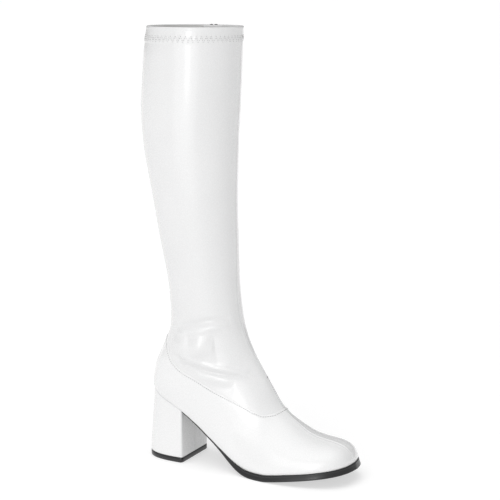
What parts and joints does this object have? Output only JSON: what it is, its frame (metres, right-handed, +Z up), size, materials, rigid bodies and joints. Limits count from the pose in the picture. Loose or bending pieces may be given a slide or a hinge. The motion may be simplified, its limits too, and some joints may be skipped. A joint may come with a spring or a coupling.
{
  "type": "go-go boot",
  "caption": "Knee-high go-go boot for the right foot, smooth white coated fabric, rounded square toe, straight covered block heel, thin black sole, inside zip.",
  "frame": {"origin": "centre of the heel's top piece, on the floor", "axes": "+Z up, +X from the heel towards the toe, +Y towards the inner (medial) side of the right foot"},
  "size_m": [0.2451, 0.0976, 0.4621],
  "materials": {
    "white_pu": "smooth, soft gloss, polyurethane-coated stretch fabric",
    "black_rubber": "satin",
    "sock": "matt sock lining on board",
    "tape": "woven, matt",
    "coil": "moulded coil",
    "nickel": "nickel-plated"
  },
  "bodies": {
    "boot": {"upper": "white_pu", "outsole": "black_rubber", "insole": "sock", "heel": "white_pu", "top_piece": "black_rubber", "zip_tape": "tape", "zip_chain": "coil", "zip_slider": "nickel"},
    "pull": {"zip_pull": "nickel"}
  },
  "joints": [
    {"name": "pull_swing", "type": "hinge", "parent": "boot", "child": "pull", "pos_m": [0.02512, 0.04845, 0.45392], "axis": [1, 0.0058, 0], "range_deg": [0, 165]}
  ]
}
